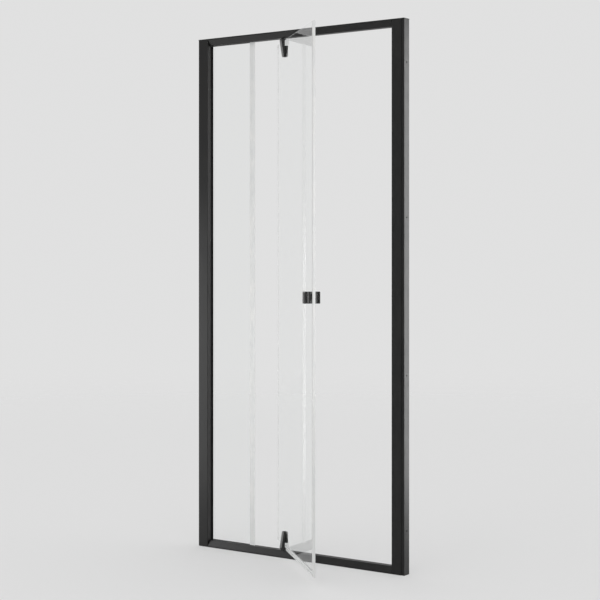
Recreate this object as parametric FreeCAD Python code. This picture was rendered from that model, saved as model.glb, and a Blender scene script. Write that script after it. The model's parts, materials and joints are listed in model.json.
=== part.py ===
"""Pivot shower door: a black framed door with a narrow fixed pane and one pane turning on two pivots.

Millimetres, +Z up. X runs along the door, the room is at -Y and the shower at +Y. The origin is the
middle of the frame's underside, on the shower tray. The door is drawn shut and then turned open.
"""
import FreeCAD, Part
import math
import os

V = FreeCAD.Vector
hairline = 1e-4  # lengths shorter than this count as none

# Overall frame
frame_width = 900.0
frame_height = 1900.0
frame_depth = 36.0
open_angle = 42.3

# Wall profiles and jambs
left_wall_show = 6.0
right_wall_show = 12.0
profile_wall = 1.8
profile_flange = 28.0
slide_gap = 0.25
jamb_width = 38.0
jamb_wall = 1.8
edge_radius = 1.5
flange_radius = 0.6
cap_thickness = 2.0
cap_plug_depth = 10.0
cap_plug_gap = 0.5
wall_hole_radius = 3.0
wall_hole_end = 150.0
wall_hole_inner = 270.0

# Rails, measured up from their outer edge
rail_height = 25.0
rail_wall = 1.8
rail_lip = 4.0
crown_margin = 7.0
pad_thickness = 2.5

# Glazing slot in jambs and rails
slot_width = 10.0
slot_depth = 13.0
slot_wall = 1.5
rear_margin = 3.5

# Glass
glass_thickness = 6.0
fixed_sight = 192.0
fixed_edge_bed = 1.0
door_side_gap = 27.0
closing_gap = 13.0
door_bottom_gap = 15.0
door_top_gap = 7.0
glass_hole_radius = 4.5

# Pivots
pivot_inset = 115.0
pivot_setback = 5.0
arm_width = 30.0
arm_root = 13.0
arm_tip = 4.0
arm_boss = 6.0
arm_blend = 3.0
arm_reach = 67.0
arm_corner = 9.0
arm_edge = 1.2
clamp_start = 27.0
clamp_plate_thickness = 9.0
clamp_plate_corner = 3.0
clamp_plate_edge = 2.0
clamp_gasket = 1.0
clamp_screw_radius = 2.5
clamp_head_radius = 4.6
clamp_head_depth = 2.6
clamp_screw_margin = 10.0
clamp_thread_skin = 2.4
socket_radius = 1.8
socket_depth = 2.0
pin_radius = 3.5
pin_in_arm = 18.0
pin_chamfer = 0.5
bush_wall = 1.7
bush_floor = 2.0
bush_flange = 1.2
bush_flange_margin = 1.0
washer_thickness = 1.0
run_gap = 0.3
pin_clearance = 0.05
seat_clearance = 0.02
housing_width = 32.0
housing_edge = 1.3
housing_gap = 0.1
housing_screw_radius = 1.7
housing_head_radius = 3.2
housing_head_depth = 1.8
housing_screw_spacing = 24.0
housing_screw_length = 17.0

# Corner and adjusting screws
port_radius = 2.1
port_boss_radius = 4.0
port_low_y = 6.8
port_low_rise = 5.6
port_high_rise = 16.5
screw_radius = 2.0
screw_hole_radius = 2.3
screw_head_radius = 3.3
screw_head_height = 2.6
corner_screw_length = 26.0
adjust_height = 950.0
adjust_y = 6.5
adjust_access_radius = 3.0
adjust_head_radius = 4.0
adjust_head_height = 3.0
adjust_block_length = 30.0
adjust_block_depth = 14.0
adjust_block_width = 5.6
adjust_thread = 12.0
adjust_cap_radius = 5.5
adjust_cap_height = 1.3

# Seals and gaskets
lip_front = 1.2
lip_back = 4.5
lip_cover = 2.0
lip_radius = 0.6
lip_back_radius = 1.0
rail_lip_back = 2.0
rail_lip_radius = 0.5
seal_wall = 1.3
seal_radius = 0.65
seal_grip = 11.0
seal_base = 2.0
fin_length = 11.0
fin_wall = 1.2
fin_gap = 0.5
door_fin_length = 18.0
seal_end_gap = 0.3
bottom_seal_grip = 10.0
bottom_seal_base = 3.0
bottom_blade = 11.0
bottom_blade_wall = 1.6
drip_reach = 3.6
drip_drop = 8.0
seal_side_gap = 0.5
magnet_tube = 8.0
magnet_tube_wall = 1.0
magnet_fit = 0.1
closing_seal_drop = 14.0
strip_proud = 1.5
strip_lip_reach = 12.0
strip_lip_wall = 1.5
strip_lip_radius = 0.5
filler_wall = 1.4
filler_gap = 0.2

# Knob
knob_inset = 35.0
knob_centre = 950.0
knob_height = 40.0
knob_reach = 24.5
knob_foot = 25.0
knob_waist = 19.0
knob_waist_out = 9.8
knob_head = 32.0
knob_crown = 1.6
knob_edge = 1.2
knob_washer = 1.0
knob_washer_radius = 10.5
knob_bolt_radius = 3.0
knob_bolt_grip = 12.0

# Places worked out from the sizes
half_depth = frame_depth / 2
slot_back = half_depth - rear_margin - slot_wall
slot_front = slot_back - slot_width
glass_y = (slot_front + slot_back) / 2
glass_front = glass_y - glass_thickness / 2
glass_back = glass_y + glass_thickness / 2

left_wall = -frame_width / 2
right_wall = frame_width / 2
left_reveal = left_wall + left_wall_show + jamb_width
right_reveal = right_wall - right_wall_show - jamb_width
rail_left = left_reveal + pad_thickness
rail_right = right_reveal - pad_thickness
opening_bottom = rail_height
opening_top = frame_height - rail_height
jamb_top = frame_height - cap_thickness

fixed_edge = left_reveal + fixed_sight
door_short_edge = fixed_edge + door_side_gap
door_long_edge = right_reveal - closing_gap
door_bottom = opening_bottom + door_bottom_gap
door_top = opening_top - door_top_gap
pivot_x = door_short_edge + pivot_inset

arm_back = glass_front - clamp_gasket
arm_front = arm_back - arm_root
pivot_y = arm_back - pivot_setback
crown_front = pivot_y - crown_margin
plate_front = glass_back + clamp_gasket
plate_back = plate_front + clamp_plate_thickness
arm_start = rail_height + bush_flange + washer_thickness + run_gap
arm_end = rail_height + arm_reach
plate_start = rail_height + clamp_start
clamp_screw_rises = (plate_start + clamp_screw_margin, arm_end - clamp_screw_margin)
bush_radius = pin_radius + pin_clearance + bush_wall
bush_flange_radius = bush_radius + bush_flange_margin
housing_front = crown_front + housing_edge
slot_floor = rail_height - slot_depth
knob_x = door_long_edge - knob_inset

port_places = (
    (port_low_y - half_depth, port_low_rise),
    (slot_front - slot_wall - port_boss_radius + seat_clearance, port_high_rise),
)
adjust_place_y = adjust_y - half_depth


def point(axis, a, b, along):
    """Point from its two section coordinates and its distance along the extrusion axis."""
    if axis == "x":
        return V(along, a, b)
    if axis == "y":
        return V(a, along, b)
    return V(a, b, along)


def corner_stops(corners, index):
    """The point at a corner, or the start, middle and end of the arc that rounds it."""
    here = V(corners[index][0], corners[index][1], 0)
    radius = corners[index][2] if len(corners[index]) > 2 else 0
    if not radius:
        return [here]
    following = corners[(index + 1) % len(corners)]
    back = (V(corners[index - 1][0], corners[index - 1][1], 0) - here).normalize()
    ahead = (V(following[0], following[1], 0) - here).normalize()
    half = back.getAngle(ahead) / 2
    inset = radius / math.tan(half)
    inward = (back + ahead).normalize()
    middle = here + inward * (radius / math.sin(half) - radius)
    return [here + back * inset, middle, here + ahead * inset]


def outline(axis, corners, along):
    """Face bounded by straight sides through the corners (a, b) or (a, b, radius)."""
    stops = []
    for index in range(len(corners)):
        stops.append([point(axis, p.x, p.y, along) for p in corner_stops(corners, index)])
    edges = []
    for index, stop in enumerate(stops):
        if len(stop) == 3:
            edges.append(Part.Arc(stop[0], stop[1], stop[2]).toShape())
        start = stop[-1]
        end = stops[(index + 1) % len(stops)][0]
        if start.distanceToPoint(end) > hairline:
            edges.append(Part.LineSegment(start, end).toShape())
    return Part.Face(Part.Wire(edges))


def extrude(axis, corners, start, end):
    """Solid with the given section, from start to end along the axis."""
    return outline(axis, corners, start).extrude(point(axis, 0, 0, end - start))


def box(x0, x1, y0, y1, z0, z1):
    """Solid block between two corners."""
    return Part.makeBox(x1 - x0, y1 - y0, z1 - z0, V(x0, y0, z0))


def rod(axis, a, b, radius, start, end):
    """Cylinder along an axis, from start to end."""
    low = min(start, end)
    return Part.makeCylinder(radius, abs(end - start), point(axis, a, b, low), point(axis, 0, 0, 1))


def cone(axis, a, b, start_radius, end_radius, start, end):
    """Cone along an axis, with its two radii."""
    direction = point(axis, 0, 0, math.copysign(1, end - start))
    return Part.makeCone(start_radius, end_radius, abs(end - start), point(axis, a, b, start), direction)


def hexagon(axis, a, b, radius, start, end):
    """Six-sided socket along an axis."""
    corners = []
    for side in range(6):
        turn = math.radians(60 * side)
        corners.append((a + radius * math.cos(turn), b + radius * math.sin(turn)))
    return extrude(axis, corners, start, end)


def fuse(first, *others):
    """One solid from touching or overlapping solids."""
    return first.fuse(list(others)).removeSplitter()


def top_copy(shape):
    """The same piece at the other end of the frame, upside down."""
    return shape.mirror(V(0, 0, frame_height / 2), V(0, 0, 1))


def towards_wall(reveal, side, section):
    """Section drawn outwards from a jamb's inner face, set at that face: side is -1 left, 1 right."""
    placed = []
    for corner in section:
        placed.append((reveal + side * corner[0],) + tuple(corner[1:]))
    return placed


def wall_profile(wall, side):
    """U channel screwed to the wall, open to the door, with clear holes for the wall screws."""
    outer = half_depth - jamb_wall - slide_gap
    inner = outer - profile_wall
    section = [
        (0, -outer),
        (0, outer),
        (-profile_flange, outer),
        (-profile_flange, inner),
        (-profile_wall, inner),
        (-profile_wall, -inner),
        (-profile_flange, -inner),
        (-profile_flange, -outer),
    ]
    channel = extrude("z", towards_wall(wall, side, section), 0, jamb_top)
    middle = frame_height / 2
    rises = (
        wall_hole_end,
        middle - wall_hole_inner,
        middle + wall_hole_inner,
        frame_height - wall_hole_end,
    )
    holes = [rod("x", 0, rise, wall_hole_radius, wall, wall - side * profile_wall) for rise in rises]
    return channel.cut(holes)


def jamb(reveal, side):
    """Extrusion that slides over the wall profile, with the glazing slot in its inner face."""
    back_of_slot = slot_depth + slot_wall
    section = [
        (jamb_width, -half_depth, flange_radius),
        (0, -half_depth, edge_radius),
        (0, slot_front),
        (slot_depth, slot_front),
        (slot_depth, slot_back),
        (0, slot_back),
        (0, half_depth, edge_radius),
        (jamb_width, half_depth, flange_radius),
        (jamb_width, half_depth - jamb_wall),
        (jamb_wall, half_depth - jamb_wall),
        (jamb_wall, slot_back + slot_wall),
        (back_of_slot, slot_back + slot_wall),
        (back_of_slot, slot_front - slot_wall),
        (jamb_wall, slot_front - slot_wall),
        (jamb_wall, jamb_wall - half_depth),
        (jamb_width, jamb_wall - half_depth),
    ]
    body = extrude("z", towards_wall(reveal, side, section), 0, jamb_top)
    inside = reveal + side * jamb_wall
    holes = [rod("x", adjust_place_y, adjust_height, adjust_access_radius, reveal, inside)]
    for y, rise in port_places:
        holes.append(rod("x", y, rise, screw_hole_radius, reveal, inside))
        holes.append(rod("x", y, frame_height - rise, screw_hole_radius, reveal, inside))
    return body.cut(holes)


def jamb_cap(wall, reveal, side):
    """Moulded cap closing the top of a jamb and its wall profile, with a plug inside the channel."""
    plate_section = [
        (wall, -half_depth),
        (wall, half_depth),
        (reveal, half_depth, edge_radius),
        (reveal, -half_depth, edge_radius),
    ]
    plate = extrude("z", plate_section, jamb_top, frame_height)
    across = half_depth - jamb_wall - slide_gap - profile_wall - cap_plug_gap
    near = wall - side * (profile_wall + cap_plug_gap)
    far = wall - side * profile_flange
    plug_section = [(near, -across), (near, across), (far, across), (far, -across)]
    return fuse(plate, extrude("z", plug_section, jamb_top - cap_plug_depth, jamb_top))


def rail_section():
    """Outer shape of a rail: a flat base, short lips, faces that slope up to a crown, and the slot."""
    return [
        (-half_depth, 0),
        (half_depth, 0),
        (half_depth, rail_lip, edge_radius),
        (slot_back + slot_wall, rail_height),
        (slot_back, rail_height),
        (slot_back, slot_floor),
        (slot_front, slot_floor),
        (slot_front, rail_height),
        (crown_front, rail_height, edge_radius),
        (-half_depth, rail_lip, edge_radius),
    ]


def rail_chambers():
    """The two hollows of a rail: in front of the slot and under it."""
    run = crown_front + half_depth
    climb = rail_height - rail_lip
    slope = math.hypot(run, climb)
    shift = rail_wall * slope / climb
    lip_top = rail_lip - (shift - rail_wall) * climb / run
    crown_inside = crown_front + shift - rail_wall * run / climb
    front = [
        (rail_wall - half_depth, rail_wall),
        (slot_front - slot_wall, rail_wall),
        (slot_front - slot_wall, rail_height - rail_wall),
        (crown_inside, rail_height - rail_wall),
        (rail_wall - half_depth, lip_top),
    ]
    under_slot = rail_height - slot_depth - slot_wall
    rear_run = (half_depth - slot_back - slot_wall) * (under_slot - rail_lip) / climb
    below = [
        (slot_front, rail_wall),
        (half_depth - rail_wall, rail_wall),
        (half_depth - rail_wall, rail_lip),
        (half_depth - rear_run - rail_wall, under_slot),
        (slot_front, under_slot),
    ]
    return front, below


def rail():
    """Bottom rail: hollow extrusion with screw ports in its ends and a pocket for the pivot housing."""
    body = extrude("x", rail_section(), rail_left, rail_right)
    for chamber in rail_chambers():
        body = body.cut(extrude("x", chamber, rail_left, rail_right))
    bosses = [rod("x", y, rise, port_boss_radius, rail_left, rail_right) for y, rise in port_places]
    body = fuse(body, *bosses)
    ports = [rod("x", y, rise, port_radius, rail_left, rail_right) for y, rise in port_places]
    reach = housing_width / 2 + housing_gap
    pocket = box(
        pivot_x - reach, pivot_x + reach, housing_front - housing_gap, slot_front, rail_wall, rail_height
    )
    threads = [
        rod("z", x, glass_y, housing_screw_radius, rail_wall, rail_height) for x in housing_screw_places()
    ]
    return body.cut(ports + [pocket] + threads)


def corner_pad(start, end):
    """Sealing pad of the rail's outline, squeezed between the end of a rail and a jamb."""
    pad = extrude("x", rail_section(), start, end)
    return pad.cut([rod("x", y, rise, screw_hole_radius, start, end) for y, rise in port_places])


def corner_screw(y, rise, reveal, side):
    """Screw from inside a jamb, through its inner face and the pad, into a port of the rail."""
    seat = reveal + side * jamb_wall
    head = rod("x", y, rise, screw_head_radius, seat, seat + side * screw_head_height)
    shank = rod("x", y, rise, screw_radius, seat, seat - side * corner_screw_length)
    return fuse(head, shank)


def adjusting_set(wall, reveal, side):
    """Screw that sets a jamb's distance from its wall profile, its threaded block and its cap."""
    seat = reveal + side * jamb_wall
    web = wall - side * profile_wall
    inner = half_depth - jamb_wall - slide_gap - profile_wall
    block_end = web - side * adjust_block_depth
    block = box(
        min(web, block_end),
        max(web, block_end),
        -inner,
        -inner + adjust_block_width,
        adjust_height - adjust_block_length / 2,
        adjust_height + adjust_block_length / 2,
    )
    tip = block_end + side * adjust_thread
    place = ("x", adjust_place_y, adjust_height)
    head = rod(*place, adjust_head_radius, seat, seat + side * adjust_head_height)
    shank = rod(*place, screw_radius, seat, tip)
    socket = hexagon(*place, socket_radius, seat, seat + side * socket_depth)
    screw = fuse(head, shank).cut(socket)
    hole = rod(*place, screw_radius + seat_clearance, block_end, tip)
    crown = reveal - side * adjust_cap_height
    disc = cone(*place, adjust_cap_radius, adjust_cap_radius - adjust_cap_height, reveal, crown)
    stem = rod(*place, adjust_access_radius - seat_clearance, reveal, seat)
    return screw, block.cut(hole), fuse(disc, stem)


def jamb_gasket():
    """U gasket round the fixed pane's edge in the left jamb, with a small outer and a wide inner lip."""
    section = [
        (slot_depth, slot_front),
        (0, slot_front),
        (0, slot_front - lip_cover),
        (-lip_front, slot_front - lip_cover, lip_radius),
        (-lip_front, glass_front),
        (slot_depth - fixed_edge_bed, glass_front),
        (slot_depth - fixed_edge_bed, glass_back),
        (-lip_back, glass_back),
        (-lip_back, slot_back, lip_back_radius),
        (0, slot_back + lip_cover),
        (0, slot_back),
        (slot_depth, slot_back),
    ]
    return extrude("z", towards_wall(left_reveal, -1, section), opening_bottom, opening_top)


def rail_gasket():
    """U gasket round the fixed pane's lower edge in the bottom rail."""
    section = [
        (slot_front, slot_floor),
        (slot_front, rail_height),
        (slot_front - lip_cover, rail_height),
        (slot_front - lip_cover, rail_height + lip_front, lip_radius),
        (glass_front, rail_height + lip_front),
        (glass_front, slot_floor + fixed_edge_bed),
        (glass_back, slot_floor + fixed_edge_bed),
        (glass_back, rail_height + rail_lip_back),
        (slot_back, rail_height + rail_lip_back, rail_lip_radius),
        (slot_back + slot_wall, rail_height),
        (slot_back, rail_height),
        (slot_back, slot_floor),
    ]
    return extrude("x", section, left_reveal + lip_back, fixed_edge - seal_grip - seal_end_gap)


def fixed_pane():
    """Fixed pane, held in the slots of the left jamb and both rails."""
    bed = slot_depth - fixed_edge_bed
    return box(
        left_reveal - bed, fixed_edge, glass_front, glass_back, opening_bottom - bed, opening_top + bed
    )


def fixed_edge_seal():
    """Clear strip pushed on the fixed pane's free edge, with a fin in front of the door's short edge."""
    front = glass_front - seal_wall
    back = glass_back + seal_wall
    base = fixed_edge + seal_base
    section = [
        (fixed_edge - seal_grip, front),
        (base + fin_length, front),
        (base + fin_length, front + fin_wall),
        (base, front + fin_wall),
        (base, back, seal_radius),
        (fixed_edge - seal_grip, back),
        (fixed_edge - seal_grip, glass_back),
        (fixed_edge, glass_back),
        (fixed_edge, glass_front),
        (fixed_edge - seal_grip, glass_front),
    ]
    return extrude("z", section, opening_bottom + seal_end_gap, opening_top - seal_end_gap)


def rail_filler(start, end):
    """Snap-in strip that closes the unused glazing slot of a rail flush with its crown."""
    plate = rail_height - filler_wall
    section = [
        (slot_front, slot_floor),
        (slot_front, rail_height),
        (slot_back, rail_height),
        (slot_back, slot_floor),
        (slot_back - filler_wall, slot_floor),
        (slot_back - filler_wall, plate),
        (slot_front + filler_wall, plate),
        (slot_front + filler_wall, slot_floor),
    ]
    return extrude("x", section, start, end)


def rail_fillers():
    """Filler strips on both sides of the pivot housing."""
    reach = housing_width / 2 + filler_gap
    short = rail_filler(fixed_edge + filler_gap, pivot_x - reach)
    return [short, rail_filler(pivot_x + reach, rail_right)]


def magnet_half():
    """Half the thickness of a magnet bar in its tube."""
    return magnet_tube / 2 - magnet_tube_wall - magnet_fit


def closing_strip():
    """Carrier in the right jamb's slot, with a chamber for its magnet and a lip that stops the door."""
    lip_front_face = slot_back + seal_side_gap
    section = [
        (-strip_proud, slot_front),
        (-strip_proud, lip_front_face),
        (-strip_lip_reach, lip_front_face),
        (-strip_lip_reach, lip_front_face + strip_lip_wall, strip_lip_radius),
        (0, lip_front_face + strip_lip_wall),
        (0, slot_back),
        (slot_depth, slot_back),
        (slot_depth, slot_front),
    ]
    chamber_half = magnet_half() + magnet_fit
    near = magnet_tube_wall - strip_proud
    chamber = [
        (near, glass_y - chamber_half),
        (near, glass_y + chamber_half),
        (near + 2 * chamber_half, glass_y + chamber_half),
        (near + 2 * chamber_half, glass_y - chamber_half),
    ]
    body = extrude("z", towards_wall(right_reveal, 1, section), opening_bottom, opening_top)
    return body.cut(extrude("z", towards_wall(right_reveal, 1, chamber), opening_bottom, opening_top))


def closing_strip_magnet():
    """Magnet bar inside the closing strip."""
    near = right_reveal + magnet_tube_wall - strip_proud + magnet_fit
    half = magnet_half()
    return box(near, near + 2 * half, glass_y - half, glass_y + half, opening_bottom, opening_top)


def housing_screw_places():
    """Where the two screws of a pivot housing stand along the rail."""
    return (pivot_x - housing_screw_spacing / 2, pivot_x + housing_screw_spacing / 2)


def pivot_housing():
    """Block let into the bottom rail's crown and slot, bored for the pivot bush."""
    left = pivot_x - housing_width / 2
    right = pivot_x + housing_width / 2
    deep = box(left, right, housing_front, slot_front - housing_gap, rail_wall, rail_height)
    shallow = box(left, right, slot_front - housing_gap, slot_back, slot_floor, rail_height)
    bush_seat = bush_radius + seat_clearance
    cuts = [rod("z", pivot_x, pivot_y, bush_seat, slot_floor, rail_height)]
    head_seat = rail_height - housing_head_depth
    for x in housing_screw_places():
        cuts.append(rod("z", x, glass_y, housing_screw_radius + seat_clearance, slot_floor, rail_height))
        cuts.append(
            cone(
                "z", x, glass_y, housing_screw_radius + seat_clearance,
                housing_head_radius + seat_clearance, head_seat, rail_height
            )
        )
    return fuse(deep, shallow).cut(cuts)


def housing_screws():
    """Countersunk screws that hold a pivot housing to the floor of the slot."""
    screws = []
    head_seat = rail_height - housing_head_depth
    tip = rail_height - housing_screw_length
    for x in housing_screw_places():
        head = cone("z", x, glass_y, housing_screw_radius, housing_head_radius, head_seat, rail_height)
        shank = rod("z", x, glass_y, housing_screw_radius - seat_clearance, tip, head_seat)
        screws.append(fuse(head, shank))
    return screws


def pivot_bush():
    """Flanged plain bearing, closed at its inner end."""
    sleeve = rod("z", pivot_x, pivot_y, bush_radius, slot_floor, rail_height)
    flange = rod("z", pivot_x, pivot_y, bush_flange_radius, rail_height, rail_height + bush_flange)
    bore = rod(
        "z",
        pivot_x,
        pivot_y,
        pin_radius + pin_clearance,
        slot_floor + bush_floor,
        rail_height + bush_flange,
    )
    return fuse(sleeve, flange).cut(bore)


def thrust_washer():
    """Slippery ring between the bush's flange and the pivot arm."""
    seat = rail_height + bush_flange
    ring = rod("z", pivot_x, pivot_y, bush_flange_radius, seat, seat + washer_thickness)
    return ring.cut(rod("z", pivot_x, pivot_y, pin_radius + run_gap, seat, seat + washer_thickness))


def pivot_pin():
    """Steel pin pressed into the arm, with chamfered ends, running in the bush."""
    low = slot_floor + bush_floor + run_gap
    pin = rod("z", pivot_x, pivot_y, pin_radius, low, arm_start + pin_in_arm)
    return pin.makeChamfer(pin_chamfer, pin.Edges)


def clamp_plan(start, end, low_radius):
    """Front view of a clamp half: straight sides and a rounded far end."""
    half = arm_width / 2
    return [
        (pivot_x - half, start, low_radius),
        (pivot_x + half, start, low_radius),
        (pivot_x + half, end, arm_corner),
        (pivot_x - half, end, arm_corner),
    ]


def face_edges(shape, y):
    """Edges that lie wholly in the plane at this depth."""
    found = []
    for edge in shape.Edges:
        extent = edge.BoundBox
        if abs(extent.YMin - y) < hairline and abs(extent.YMax - y) < hairline:
            found.append(edge)
    return found


def pivot_arm(glass_gap):
    """Outer half of the clamp: a wedge thick at the pin, with a foot under the edge of the glass."""
    boss_end = arm_start + arm_boss
    side_view = [
        (arm_back, arm_start),
        (arm_back, arm_end),
        (arm_back - arm_tip, arm_end, arm_edge),
        (arm_front, boss_end, arm_blend),
        (arm_front, arm_start, arm_edge),
    ]
    half = arm_width / 2
    wedge = extrude("x", side_view, pivot_x - half, pivot_x + half)
    plan = extrude("y", clamp_plan(arm_start, arm_end, arm_edge), arm_front, arm_back)
    foot_top = rail_height + glass_gap - clamp_gasket
    foot = box(pivot_x - half, pivot_x + half, arm_back, glass_back, arm_start, foot_top)
    cuts = [rod("z", pivot_x, pivot_y, pin_radius + seat_clearance, arm_start, arm_start + pin_in_arm)]
    for rise in clamp_screw_rises:
        tapped = clamp_screw_radius + seat_clearance
        cuts.append(rod("y", pivot_x, rise, tapped, thread_end(rise), arm_back))
    return fuse(wedge.common(plan), foot).cut(cuts)


def thread_end(rise):
    """Depth to which a clamp screw is tapped into the tapering arm, leaving a skin in front of it."""
    boss_end = arm_start + arm_boss
    taper = (arm_root - arm_tip) / (arm_end - boss_end)
    return arm_front + max(0, rise - boss_end) * taper + clamp_thread_skin


def clamp_plate():
    """Inner half of the clamp, with a softened edge and countersinks for its screws."""
    plate = extrude("y", clamp_plan(plate_start, arm_end, clamp_plate_corner), plate_front, plate_back)
    plate = plate.makeFillet(clamp_plate_edge, face_edges(plate, plate_back))
    head_seat = plate_back - clamp_head_depth
    cuts = []
    for rise in clamp_screw_rises:
        clear = clamp_screw_radius + seat_clearance
        cuts.append(rod("y", pivot_x, rise, clear, plate_front, plate_back))
        cuts.append(
            cone("y", pivot_x, rise, clear, clamp_head_radius + seat_clearance, head_seat, plate_back)
        )
    return plate.cut(cuts)


def clamp_screws():
    """Countersunk socket screws that draw the two halves of a clamp together."""
    screws = []
    head_seat = plate_back - clamp_head_depth
    for rise in clamp_screw_rises:
        head = cone("y", pivot_x, rise, clamp_screw_radius, clamp_head_radius, head_seat, plate_back)
        shank = rod("y", pivot_x, rise, clamp_screw_radius, thread_end(rise), head_seat)
        socket = hexagon("y", pivot_x, rise, socket_radius, plate_back - socket_depth, plate_back)
        screws.append(fuse(head, shank).cut(socket))
    return screws


def clamp_gaskets(glass_gap):
    """Soft sheets on both faces of the glass, and a pad under its edge."""
    sheets = []
    clear = clamp_screw_radius + seat_clearance
    for front, back in ((arm_back, glass_front), (glass_back, plate_front)):
        sheet = extrude("y", clamp_plan(plate_start, arm_end, clamp_plate_corner), front, back)
        holes = [rod("y", pivot_x, rise, clear, front, back) for rise in clamp_screw_rises]
        sheets.append(sheet.cut(holes))
    edge = rail_height + glass_gap
    half = arm_width / 2
    pad = box(pivot_x - half, pivot_x + half, glass_front, glass_back, edge - clamp_gasket, edge)
    return sheets + [pad]


def door_pane():
    """Turning pane, drilled for the clamps and the knob."""
    pane = box(door_short_edge, door_long_edge, glass_front, glass_back, door_bottom, door_top)
    holes = [rod("y", knob_x, knob_centre, glass_hole_radius, glass_front, glass_back)]
    for rise in clamp_screw_rises:
        for height in (rise, frame_height - rise):
            holes.append(rod("y", pivot_x, height, glass_hole_radius, glass_front, glass_back))
    return pane.cut(holes)


def bottom_seal():
    """Clear strip pushed on the lower edge of the long side: a clip, a blade and a drip fin."""
    front = glass_front - seal_wall
    back = glass_back + seal_wall
    base = door_bottom - bottom_seal_base
    grip = door_bottom + bottom_seal_grip
    blade = bottom_blade_wall / 2
    section = [
        (front, grip),
        (front, base, seal_radius),
        (glass_y - blade, base),
        (glass_y - blade, base - bottom_blade),
        (glass_y + blade, base - bottom_blade),
        (glass_y + blade, base),
        (back - seal_wall, base),
        (back + drip_reach - seal_wall, base - drip_drop),
        (back + drip_reach, base - drip_drop),
        (back, door_bottom),
        (back, grip),
        (glass_back, grip),
        (glass_back, door_bottom),
        (glass_front, door_bottom),
        (glass_front, grip),
    ]
    start = pivot_x + arm_width / 2 + seal_side_gap
    return extrude("x", section, start, door_long_edge - seal_grip - seal_side_gap)


def closing_seal():
    """Clear strip on the door's long edge, with a square tube that carries the magnet."""
    front = glass_front - seal_wall
    back = glass_back + seal_wall
    tube = door_long_edge + seal_wall
    half = magnet_tube / 2
    section = [
        (door_long_edge - seal_grip, front),
        (tube, front),
        (tube, glass_y - half),
        (tube + magnet_tube, glass_y - half, seal_radius),
        (tube + magnet_tube, glass_y + half, seal_radius),
        (tube, glass_y + half),
        (tube, back),
        (door_long_edge - seal_grip, back),
        (door_long_edge - seal_grip, glass_back),
        (door_long_edge, glass_back),
        (door_long_edge, glass_front),
        (door_long_edge - seal_grip, glass_front),
    ]
    bottom = door_bottom - closing_seal_drop
    chamber_half = magnet_half() + magnet_fit
    chamber = box(
        tube + magnet_tube_wall,
        tube + magnet_tube - magnet_tube_wall,
        glass_y - chamber_half,
        glass_y + chamber_half,
        bottom,
        door_top,
    )
    return extrude("z", section, bottom, door_top).cut(chamber)


def closing_magnet():
    """Magnet bar inside the closing seal."""
    near = door_long_edge + seal_wall + magnet_tube_wall + magnet_fit
    half = magnet_half()
    bottom = door_bottom - closing_seal_drop
    return box(near, near + 2 * half, glass_y - half, glass_y + half, bottom, door_top)


def short_edge_seal():
    """Clear strip on the door's short edge, whose fin shuts behind the fixed pane's fin."""
    front = glass_front - seal_wall
    back = glass_back + seal_wall
    base = door_short_edge - seal_base
    fin_front = front + fin_wall + fin_gap
    section = [
        (door_short_edge + seal_grip, front),
        (base, front, seal_radius),
        (base, fin_front),
        (base - door_fin_length, fin_front),
        (base - door_fin_length, fin_front + fin_wall),
        (base, fin_front + fin_wall),
        (base, back, seal_radius),
        (door_short_edge + seal_grip, back),
        (door_short_edge + seal_grip, glass_back),
        (door_short_edge, glass_back),
        (door_short_edge, glass_front),
        (door_short_edge + seal_grip, glass_front),
    ]
    return extrude("z", section, door_bottom, door_top)


def knob(side, seat):
    """Grip with scooped sides and a slightly crowned face: side is -1 in the room, 1 in the shower."""

    def at(x, out):
        return V(knob_x + x, seat + side * out, knob_centre - knob_height / 2)

    foot = knob_foot / 2
    waist = knob_waist / 2
    head = knob_head / 2
    brow = knob_reach - knob_crown
    edges = []
    for hand in (-1, 1):
        scoop = Part.Arc(at(hand * foot, 0), at(hand * waist, knob_waist_out), at(hand * head, brow))
        edges.append(scoop.toShape())
    edges.append(Part.LineSegment(at(-foot, 0), at(foot, 0)).toShape())
    edges.append(Part.Arc(at(-head, brow), at(0, knob_reach), at(head, brow)).toShape())
    plan = Part.Face(Part.Wire(Part.__sortEdges__(edges)))
    grip = plan.extrude(V(0, 0, knob_height))
    rims = []
    for edge in grip.Edges:
        extent = edge.BoundBox
        far = max(abs(extent.YMin - seat), abs(extent.YMax - seat))
        if extent.ZLength < hairline and far > hairline:
            rims.append(edge)
    grip = grip.makeChamfer(knob_edge, rims)
    bolt_end = seat + side * knob_bolt_grip
    return grip.cut(rod("y", knob_x, knob_centre, knob_bolt_radius + seat_clearance, seat, bolt_end))


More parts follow.
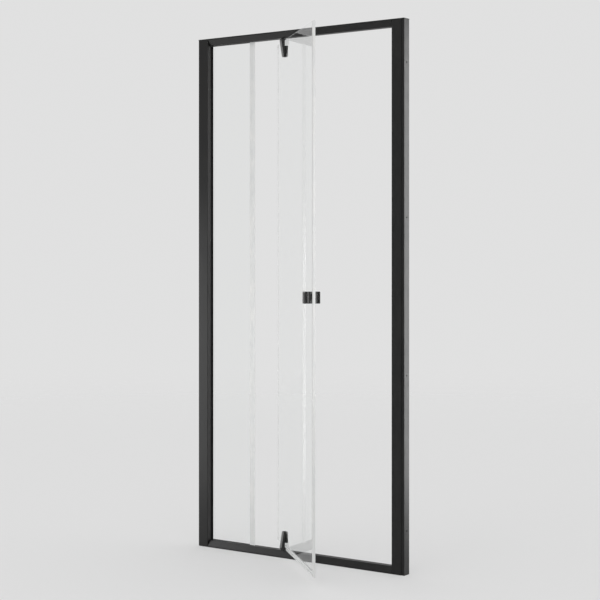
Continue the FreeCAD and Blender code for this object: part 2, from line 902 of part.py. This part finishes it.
def build():
    """Every node of the frame and, turned open, of the door."""
    lower_rail = rail()
    left_screw, left_block, left_cap = adjusting_set(left_wall, left_reveal, -1)
    right_screw, right_block, right_cap = adjusting_set(right_wall, right_reveal, 1)
    lower_pads = [corner_pad(left_reveal, rail_left), corner_pad(rail_right, right_reveal)]
    lower_screws = []
    for y, rise in port_places:
        lower_screws.append(corner_screw(y, rise, left_reveal, -1))
        lower_screws.append(corner_screw(y, rise, right_reveal, 1))
    fillers = rail_fillers()
    housing = pivot_housing()
    bush = pivot_bush()
    washer = thrust_washer()
    fasteners = housing_screws()
    gasket = rail_gasket()
    frame = {
        "wall_profile_left": [wall_profile(left_wall, -1)],
        "wall_profile_right": [wall_profile(right_wall, 1)],
        "jamb_left": [jamb(left_reveal, -1)],
        "jamb_right": [jamb(right_reveal, 1)],
        "jamb_cap_left": [jamb_cap(left_wall, left_reveal, -1)],
        "jamb_cap_right": [jamb_cap(right_wall, right_reveal, 1)],
        "bottom_rail": [lower_rail],
        "top_rail": [top_copy(lower_rail)],
        "corner_pads": lower_pads + [top_copy(pad) for pad in lower_pads],
        "corner_screws": lower_screws + [top_copy(screw) for screw in lower_screws],
        "adjusting_screws": [left_screw, right_screw],
        "adjusting_blocks": [left_block, right_block],
        "adjusting_caps": [left_cap, right_cap],
        "fixed_glass": [fixed_pane()],
        "fixed_gasket_left": [jamb_gasket()],
        "fixed_gasket_bottom": [gasket],
        "fixed_gasket_top": [top_copy(gasket)],
        "fixed_edge_seal": [fixed_edge_seal()],
        "bottom_rail_fillers": fillers,
        "top_rail_fillers": [top_copy(filler) for filler in fillers],
        "closing_strip": [closing_strip()],
        "closing_strip_magnet": [closing_strip_magnet()],
        "bottom_pivot_housing": [housing],
        "top_pivot_housing": [top_copy(housing)],
        "bottom_pivot_bush": [bush],
        "top_pivot_bush": [top_copy(bush)],
        "bottom_thrust_washer": [washer],
        "top_thrust_washer": [top_copy(washer)],
        "housing_screws": fasteners + [top_copy(screw) for screw in fasteners],
    }
    pin = pivot_pin()
    plate = clamp_plate()
    screws = clamp_screws()
    outer_seat = glass_front - knob_washer
    inner_seat = glass_back + knob_washer
    washers = []
    bolt_hole = knob_bolt_radius + seat_clearance
    for front, back in ((outer_seat, glass_front), (glass_back, inner_seat)):
        disc = rod("y", knob_x, knob_centre, knob_washer_radius, front, back)
        washers.append(disc.cut(rod("y", knob_x, knob_centre, bolt_hole, front, back)))
    bolt = rod(
        "y", knob_x, knob_centre, knob_bolt_radius, outer_seat - knob_bolt_grip, inner_seat + knob_bolt_grip
    )
    door = {
        "door_glass": [door_pane()],
        "bottom_pivot_arm": [pivot_arm(door_bottom_gap)],
        "top_pivot_arm": [top_copy(pivot_arm(door_top_gap))],
        "bottom_clamp_plate": [plate],
        "top_clamp_plate": [top_copy(plate)],
        "bottom_clamp_gaskets": clamp_gaskets(door_bottom_gap),
        "top_clamp_gaskets": [top_copy(sheet) for sheet in clamp_gaskets(door_top_gap)],
        "bottom_clamp_screws": screws,
        "top_clamp_screws": [top_copy(screw) for screw in screws],
        "bottom_pivot_pin": [pin],
        "top_pivot_pin": [top_copy(pin)],
        "door_bottom_seal": [bottom_seal()],
        "door_closing_seal": [closing_seal()],
        "door_closing_magnet": [closing_magnet()],
        "door_edge_seal": [short_edge_seal()],
        "knob_outer": [knob(-1, outer_seat)],
        "knob_inner": [knob(1, inner_seat)],
        "knob_bolt": [bolt],
        "knob_washers": washers,
    }
    for solids in door.values():
        for solid in solids:
            solid.rotate(V(pivot_x, pivot_y, 0), V(0, 0, 1), -open_angle)
    return {**frame, **door}


os.makedirs("parts", exist_ok=True)
for name, solids in build().items():
    node = solids[0] if len(solids) == 1 else Part.makeCompound(solids)
    node.exportStep(f"parts/{name}.step")
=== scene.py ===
import json
import math

import bpy
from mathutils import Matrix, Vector

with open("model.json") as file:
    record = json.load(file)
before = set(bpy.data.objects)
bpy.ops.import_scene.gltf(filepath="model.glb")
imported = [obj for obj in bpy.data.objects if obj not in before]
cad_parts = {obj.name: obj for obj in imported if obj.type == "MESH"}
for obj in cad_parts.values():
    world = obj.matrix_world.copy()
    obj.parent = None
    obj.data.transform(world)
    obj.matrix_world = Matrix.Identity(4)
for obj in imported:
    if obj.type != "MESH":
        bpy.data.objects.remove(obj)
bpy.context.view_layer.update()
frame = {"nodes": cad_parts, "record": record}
nodes = frame["nodes"]


# Wall profiles, jambs and rails
# Aluminium extrusions, sawn to length, drilled and powder coated matt black before they are screwed
# together. The coat has a fine orange peel, and its sheen changes a little along each length.
def start_finish(name):
    """A new finish: its material, its node tree and its shader."""
    material = bpy.data.materials.new(name)
    material.use_nodes = True
    tree = material.node_tree
    return material, tree, tree.nodes["Principled BSDF"]


def mottle(tree, blot, detail=3.0, stretch=(1, 1, 1)):
    """Noise with blots of that size in metres, drawn out along an axis where stretch is small there."""
    place = tree.nodes.new("ShaderNodeTexCoord")
    drawn = tree.nodes.new("ShaderNodeMapping")
    noise = tree.nodes.new("ShaderNodeTexNoise")
    drawn.inputs["Scale"].default_value = stretch
    noise.inputs["Scale"].default_value = 1 / blot
    noise.inputs["Detail"].default_value = detail
    tree.links.new(place.outputs["Object"], drawn.inputs["Vector"])
    tree.links.new(drawn.outputs["Vector"], noise.inputs["Vector"])
    return noise.outputs["Fac"]


def ramp(tree, pattern, start, end, low, high, socket):
    """Moves a shader's socket from low to high while a pattern goes from start to end."""
    spread = tree.nodes.new("ShaderNodeMapRange")
    spread.inputs["From Min"].default_value = start
    spread.inputs["From Max"].default_value = end
    spread.inputs["To Min"].default_value = low
    spread.inputs["To Max"].default_value = high
    tree.links.new(pattern, spread.inputs["Value"])
    tree.links.new(spread.outputs["Result"], socket)


noise_low = 0.3
noise_high = 0.7


def tone(tree, shader, blot, dark, light):
    """Lets a shader's colour drift between a dark and a light tone."""
    tones = tree.nodes.new("ShaderNodeValToRGB")
    first, last = tones.color_ramp.elements
    first.position = noise_low
    first.color = (*dark, 1)
    last.position = noise_high
    last.color = (*light, 1)
    tree.links.new(mottle(tree, blot), tones.inputs["Fac"])
    tree.links.new(tones.outputs["Color"], shader.inputs["Base Color"])


def gloss(tree, shader, blot, smooth, rough, stretch=(1, 1, 1)):
    """Lets a shader's roughness drift between two values."""
    drift = mottle(tree, blot, stretch=stretch)
    ramp(tree, drift, noise_low, noise_high, smooth, rough, shader.inputs["Roughness"])


def grain(tree, shader, blot, height, detail=3.0, stretch=(1, 1, 1)):
    """Raises a grain by that height in metres, on top of the grain that the shader already has."""
    bump = tree.nodes.new("ShaderNodeBump")
    bump.inputs["Strength"].default_value = 1.0
    bump.inputs["Distance"].default_value = height
    tree.links.new(mottle(tree, blot, detail, stretch), bump.inputs["Height"])
    for link in list(shader.inputs["Normal"].links):
        tree.links.new(link.from_socket, bump.inputs["Normal"])
    tree.links.new(bump.outputs["Normal"], shader.inputs["Normal"])


def dress(finish, *names):
    """Gives a finish to pieces that keep their own shape."""
    for name in names:
        nodes[name].material_slots[0].material = finish


powder_coat, tree, coat = start_finish("powder_coat")
tone(tree, coat, blot=0.12, dark=(0.0065, 0.0065, 0.0067), light=(0.0100, 0.0098, 0.0094))
gloss(tree, coat, blot=0.03, smooth=0.43, rough=0.47)
grain(tree, coat, blot=0.0011, height=0.00003)
grain(tree, coat, blot=0.00025, height=0.00001)
coat.inputs["Specular IOR Level"].default_value = 0.26
dress(powder_coat, "wall_profile_left", "wall_profile_right", "jamb_left", "jamb_right")
dress(powder_coat, "bottom_rail", "top_rail")


# Caps, pads and slot fillers
# Moulded black plastic: caps close the jambs, fillers snap into the slots, soft pads seal the corners.
# The moulds leave a fine even grain, finer and duller than the powder coat beside it.
moulded_black, tree, plastic = start_finish("moulded_black")
tone(tree, plastic, blot=0.02, dark=(0.007, 0.007, 0.007), light=(0.011, 0.011, 0.011))
gloss(tree, plastic, blot=0.004, smooth=0.5, rough=0.62)
grain(tree, plastic, blot=0.0003, height=0.000015)
plastic.inputs["Specular IOR Level"].default_value = 0.35
dress(moulded_black, "jamb_cap_left", "jamb_cap_right", "adjusting_caps")
dress(moulded_black, "bottom_rail_fillers", "top_rail_fillers")

upright_draw = (1, 1, 0.02)
soft_black, tree, rubber = start_finish("soft_black")
tone(tree, rubber, blot=0.01, dark=(0.002, 0.002, 0.002), light=(0.005, 0.005, 0.005))
gloss(tree, rubber, blot=0.002, smooth=0.6, rough=0.75, stretch=upright_draw)
grain(tree, rubber, blot=0.0006, height=0.00002, stretch=upright_draw)
rubber.inputs["Specular IOR Level"].default_value = 0.12
dress(soft_black, "corner_pads")


# Corner and adjusting screws
# Steel screws and zinc blocks inside the jambs and rails, turned or cast and then plated.
# The plating is bright, with a fine uneven sheen.
plated_steel, tree, steel = start_finish("plated_steel")
tone(tree, steel, blot=0.003, dark=(0.42, 0.42, 0.41), light=(0.56, 0.56, 0.55))
gloss(tree, steel, blot=0.0008, smooth=0.24, rough=0.38)
grain(tree, steel, blot=0.0004, height=0.00001)
steel.inputs["Metallic"].default_value = 1.0
dress(plated_steel, "corner_screws", "adjusting_screws", "adjusting_blocks")


# Panes and the fixed pane's gaskets
# Toughened clear glass, 6 mm, with a faint roller wave and a coat that halves what its faces mirror. The
# edges are ground, and mirror from within. Lamps shine through the panes without a shadow.
# Black gaskets bed the fixed pane in the left jamb and both rails.
def reach_along(tree, direction, of="Object"):
    """How far a point's place, or its normal, reaches along a direction."""
    place = tree.nodes.new("ShaderNodeTexCoord")
    reach = tree.nodes.new("ShaderNodeVectorMath")
    reach.operation = "DOT_PRODUCT"
    reach.inputs[1].default_value = direction
    tree.links.new(place.outputs[of], reach.inputs[0])
    return reach.outputs["Value"]


def mixed(tree, first, second, share=0.5):
    """A share of the second shader over the first, where nothing is linked to the share later."""
    mix = tree.nodes.new("ShaderNodeMixShader")
    mix.inputs["Fac"].default_value = share
    tree.links.new(first, mix.inputs[1])
    tree.links.new(second, mix.inputs[2])
    return mix


glass_tint = (0.988, 0.993, 0.991, 1)
glass_bend = 1.5
roller_wave = 0.35
wave_height = 0.00002
coat_share = 0.5
ground_dull = (0.74, 0.82, 0.78)
ground_bright = (0.81, 0.88, 0.84)
edge_below = 0.6
face_above = 0.8
opened = -math.radians(frame["record"]["behaviour"]["joints"][0]["range_deg"][0])
along_door = Vector((math.cos(opened), -math.sin(opened), 0))
across_door = Vector((math.sin(opened), math.cos(opened), 0))
across_frame = Vector((0, 1, 0))
for name, across in (("fixed_glass", across_frame), ("door_glass", across_door)):
    clear_glass, tree, glass = start_finish("clear_" + name)
    unmirrored = tree.nodes.new("ShaderNodeBsdfRefraction")
    for shader, tint in ((glass, "Base Color"), (unmirrored, "Color")):
        grain(tree, shader, blot=roller_wave, height=wave_height, detail=1.0)
        shader.inputs[tint].default_value = glass_tint
        shader.inputs["Roughness"].default_value = 0.0
        shader.inputs["IOR"].default_value = glass_bend
    glass.inputs["Transmission Weight"].default_value = 1.0
    coated = mixed(tree, glass.outputs["BSDF"], unmirrored.outputs["BSDF"], coat_share)
    ground = tree.nodes.new("ShaderNodeBsdfPrincipled")
    tone(tree, ground, blot=0.01, dark=ground_dull, light=ground_bright)
    ground.inputs["Roughness"].default_value = 0.5
    edge = mixed(tree, ground.outputs["BSDF"], glass.outputs["BSDF"])
    within = tree.nodes.new("ShaderNodeNewGeometry").outputs["Backfacing"]
    tree.links.new(within, edge.inputs["Fac"])
    edged = mixed(tree, coated.outputs["Shader"], edge.outputs["Shader"])
    facing = tree.nodes.new("ShaderNodeMath")
    facing.operation = "ABSOLUTE"
    tree.links.new(reach_along(tree, across, of="Normal"), facing.inputs[0])
    ramp(tree, facing.outputs["Value"], edge_below, face_above, 1, 0, edged.inputs["Fac"])
    tree.links.new(edged.outputs["Shader"], tree.nodes["Material Output"].inputs["Surface"])
    dress(clear_glass, name)
    nodes[name].visible_shadow = False

along_rail = (0.02, 1, 1)
skinned_rubber, tree, skin = start_finish("skinned_rubber")
tone(tree, skin, blot=0.01, dark=(0.004, 0.004, 0.004), light=(0.008, 0.008, 0.008))
gloss(tree, skin, blot=0.002, smooth=0.18, rough=0.28, stretch=along_rail)
grain(tree, skin, blot=0.0008, height=0.00001, stretch=along_rail)
dress(skinned_rubber, "fixed_gasket_bottom", "fixed_gasket_top")
dress(soft_black, "fixed_gasket_left")


# Side seals
# Soft PVC, extruded thin and pushed on the upright edges where the panes meet: frosted on the fixed pane,
# clear on the door. Faint draw lines run along each strip, and its legs stand a hair off the glass.
vinyl_dull = (0.68, 0.69, 0.69)
vinyl_bright = (0.74, 0.74, 0.73)
vinyl_ease = 0.0001
frosted_cover = 0.78
clear_cover = 0.06


def dress_in_vinyl(name, draw):
    """Gives a seal soft PVC with lines along its draw: its node tree and its shader."""
    finish, tree, vinyl = start_finish("vinyl_" + name)
    tone(tree, vinyl, blot=0.05, dark=vinyl_dull, light=vinyl_bright)
    gloss(tree, vinyl, blot=0.003, smooth=0.22, rough=0.34, stretch=draw)
    grain(tree, vinyl, blot=0.0008, height=0.00002, stretch=draw)
    dress(finish, name)
    seal = nodes[name]
    seal.visible_shadow = False
    seal.modifiers.new("joined", "WELD")
    eased = seal.modifiers.new("eased", "DISPLACE")
    eased.mid_level = 0.0
    eased.strength = -vinyl_ease
    return tree, vinyl


for name, cover in (("fixed_edge_seal", frosted_cover), ("door_edge_seal", clear_cover)):
    tree, vinyl = dress_in_vinyl(name, upright_draw)
    vinyl.inputs["Alpha"].default_value = cover


# Bottom and closing seals
# The same PVC with clear legs that grip the glass, and a milky blade or magnet tube beyond its edge.
# The milk starts on the legs, close to the pane's edge.
milky_overlap = 0.004
milky_fade = 0.002
milky_cover = 0.95
legs_cover = 0.05
downwards = Vector((0, 0, -1))
level_draw = (0.05, 0.05, 1)
pane_points = [vertex.co for vertex in nodes["door_glass"].data.vertices]
for name, outwards, draw in (
    ("door_closing_seal", along_door, upright_draw),
    ("door_bottom_seal", downwards, level_draw),
):
    tree, vinyl = dress_in_vinyl(name, draw)
    full = max(point.dot(outwards) for point in pane_points) - milky_overlap
    bare = full - milky_fade
    ramp(tree, reach_along(tree, outwards), bare, full, legs_cover, milky_cover, vinyl.inputs["Alpha"])


# Closing strip and magnets
# A black carrier in the right jamb, with a bar of bonded magnet in it and another in the door's seal.
# The bars are ferrite powder in pale rubber, dull and slightly speckled.
dress(moulded_black, "closing_strip")
bonded_magnet, tree, ferrite = start_finish("bonded_magnet")
tone(tree, ferrite, blot=0.0012, dark=(0.62, 0.62, 0.61), light=(0.74, 0.74, 0.72))
gloss(tree, ferrite, blot=0.002, smooth=0.6, rough=0.8)
dress(bonded_magnet, "closing_strip_magnet", "door_closing_magnet")


# Pivot housings, bushes, washers and pins
# A black cast block let into each rail, with a plain bearing of black acetal and a slippery ring on it.
# The steel pin in the arm runs in the bush.
satin_black, tree, cast = start_finish("satin_black")
tone(tree, cast, blot=0.03, dark=(0.008, 0.008, 0.008), light=(0.013, 0.013, 0.0125))
gloss(tree, cast, blot=0.01, smooth=0.22, rough=0.30)
grain(tree, cast, blot=0.0006, height=0.00001)
cast.inputs["Specular IOR Level"].default_value = 0.35
dress(satin_black, "bottom_pivot_housing", "top_pivot_housing")
dress(moulded_black, "bottom_pivot_bush", "top_pivot_bush", "bottom_thrust_washer", "top_thrust_washer")
dress(plated_steel, "bottom_pivot_pin", "top_pivot_pin", "housing_screws")


# Pivot arms and clamps
# Cast zinc, satin black: an arm outside the glass, a plate inside it, soft sheets between.
# Two countersunk socket screws draw each clamp together.
dress(satin_black, "bottom_pivot_arm", "top_pivot_arm", "bottom_clamp_plate", "top_clamp_plate")
dress(soft_black, "bottom_clamp_gaskets", "top_clamp_gaskets")
black_screw, tree, screw = start_finish("black_screw")
tone(tree, screw, blot=0.002, dark=(0.02, 0.02, 0.021), light=(0.035, 0.035, 0.036))
gloss(tree, screw, blot=0.0008, smooth=0.3, rough=0.45)
screw.inputs["Metallic"].default_value = 1.0
dress(black_screw, "bottom_clamp_screws", "top_clamp_screws")


# Knob
# A pair of grips with scooped sides, one on each side of the glass, milled and anodised black, so they are
# smoother than the castings. A stud joins them through a hole in the pane, with a soft washer on each face.
milled = (1, 1, 0.05)
anodised_black, tree, grip = start_finish("anodised_black")
tone(tree, grip, blot=0.01, dark=(0.006, 0.006, 0.006), light=(0.009, 0.009, 0.0088))
gloss(tree, grip, blot=0.0015, smooth=0.16, rough=0.24, stretch=milled)
grain(tree, grip, blot=0.0004, height=0.000004, stretch=milled)
grip.inputs["Specular IOR Level"].default_value = 0.6
dress(anodised_black, "knob_outer", "knob_inner")
dress(plated_steel, "knob_bolt")
dress(soft_black, "knob_washers")


# Studio
# A pale floor that fades into a pale backdrop. Both have a glow of their own for the eye, so that the soft
# boxes at the right, at the left, in front and behind can stay weak. Flags keep all but the front box off
# floor and panes.
def looked_at(tree):
    """One for the rays that show a thing to the eye: seen straight, mirrored or through glass."""
    path = tree.nodes.new("ShaderNodeLightPath")
    seen = path.outputs["Is Camera Ray"]
    for ray in ("Is Glossy Ray", "Is Transmission Ray"):
        either = tree.nodes.new("ShaderNodeMath")
        either.operation = "MAXIMUM"
        tree.links.new(seen, either.inputs[0])
        tree.links.new(path.outputs[ray], either.inputs[1])
        seen = either.outputs["Value"]
    return seen


pale = (0.75, 0.75, 0.75, 1)
floor_grey = (0.40, 0.40, 0.40, 1)
floor_radius = 9.0
floor_fade = 3.0
floor_glow = 0.50
floor_drop = (0, 0, -0.0003)
bpy.ops.mesh.primitive_circle_add(vertices=96, radius=floor_radius, fill_type="NGON", location=floor_drop)
floor = bpy.context.object
floor.name = "floor"
floor_paint, tree, paint = start_finish("floor_paint")
paint.inputs["Base Color"].default_value = floor_grey
paint.inputs["Roughness"].default_value = 0.9
paint.inputs["Specular IOR Level"].default_value = 0.1
paint.inputs["Emission Color"].default_value = pale
ramp(tree, looked_at(tree), 0, 1, 0, floor_glow, paint.inputs["Emission Strength"])
place = tree.nodes.new("ShaderNodeTexCoord")
reach = tree.nodes.new("ShaderNodeVectorMath")
reach.operation = "LENGTH"
fade = tree.nodes.new("ShaderNodeMapRange")
fade.interpolation_type = "SMOOTHSTEP"
fade.inputs["From Min"].default_value = floor_fade
fade.inputs["From Max"].default_value = floor_radius
clear = tree.nodes.new("ShaderNodeBsdfTransparent")
faded = mixed(tree, paint.outputs["BSDF"], clear.outputs["BSDF"])
tree.links.new(place.outputs["Object"], reach.inputs[0])
tree.links.new(reach.outputs["Value"], fade.inputs["Value"])
tree.links.new(fade.outputs["Result"], faded.inputs["Fac"])
tree.links.new(faded.outputs["Shader"], tree.nodes["Material Output"].inputs["Surface"])
floor.data.materials.append(floor_paint)

world = bpy.data.worlds.new("studio")
bpy.context.scene.world = world
world.use_nodes = True
sky = world.node_tree
room_light = sky.nodes["Background"]
room_light.inputs["Color"].default_value = (1, 1, 1, 1)
room_light.inputs["Strength"].default_value = 0.85
backdrop = sky.nodes.new("ShaderNodeBackground")
backdrop.inputs["Color"].default_value = pale
backdrop.inputs["Strength"].default_value = 1.0
choice = mixed(sky, room_light.outputs["Background"], backdrop.outputs["Background"])
sky.links.new(looked_at(sky), choice.inputs["Fac"])
sky.links.new(choice.outputs["Shader"], sky.nodes["World Output"].inputs["Surface"])


def lit_by(group, names):
    """The pieces that a flagged soft box falls on, so that it leaves no pool of light on the floor."""
    lit = bpy.data.collections.new(group)
    for name in names:
        lit.objects.link(nodes[name])
    return lit


plain_blacks = (powder_coat, moulded_black, soft_black, skinned_rubber)
metal_blacks = (satin_black, anodised_black, black_screw)
blacks = plain_blacks + metal_blacks
black_pieces = [name for name in nodes if nodes[name].material_slots[0].material in blacks]
panes = ["fixed_glass", "door_glass"]
seals = ["fixed_edge_seal", "door_edge_seal", "door_bottom_seal", "door_closing_seal"]
all_but_panes = lit_by("all_but_panes", [name for name in nodes if name not in panes])
black_alone = lit_by("black_alone", black_pieces)
seals_alone = lit_by("seals_alone", seals)
for name, spot, aim, wide, high, power, lit in (
    ("key_box", (2.2, -1.45, 1.05), (0.2, -0.3, 0.95), 0.6, 1.6, 14, all_but_panes),
    ("rim_box", (0.98, 1.15, 1.05), (0.10, 0.0, 0.95), 0.7, 2.1, 30, black_alone),
    ("side_box", (-1.30, -0.65, 0.62), (-0.43, 0.0, 0.62), 0.5, 1.2, 10, all_but_panes),
    ("back_box", (0.3, 2.6, 1.4), (0.0, 0.0, 0.95), 0.8, 1.8, 22, seals_alone),
    ("fill_box", (0.8, -4.2, 3.4), (0.0, 0.0, 0.9), 1.6, 1.6, 15, None),
):
    lamp = bpy.data.lights.new(name, "AREA")
    lamp.shape = "RECTANGLE"
    lamp.size = wide
    lamp.size_y = high
    lamp.energy = power
    box = bpy.data.objects.new(name, lamp)
    box.location = spot
    box.rotation_euler = (Vector(aim) - Vector(spot)).to_track_quat("-Z", "Y").to_euler()
    box.visible_camera = False
    box.visible_transmission = False
    box.light_linking.receiver_collection = lit
    bpy.context.scene.collection.objects.link(box)


# Camera
# Held level, a little over half the door's height up and 5.2 m away, well to the right of the closing jamb.
# A portrait lens with a small shift in place of a tilt keeps the uprights upright.
eye = (3.022, -4.275, 1.092)
held_level = math.radians(90)
turned_left = math.radians(35.22)
camera_data = bpy.data.cameras.new("camera")
camera_data.lens = 87.5
camera_data.sensor_width = 36
camera_data.shift_y = -0.075
camera = bpy.data.objects.new("camera", camera_data)
camera.location = eye
camera.rotation_euler = (held_level, 0, turned_left)
bpy.context.scene.collection.objects.link(camera)
bpy.context.scene.camera = camera

bpy.context.scene.view_settings.view_transform = "Standard"
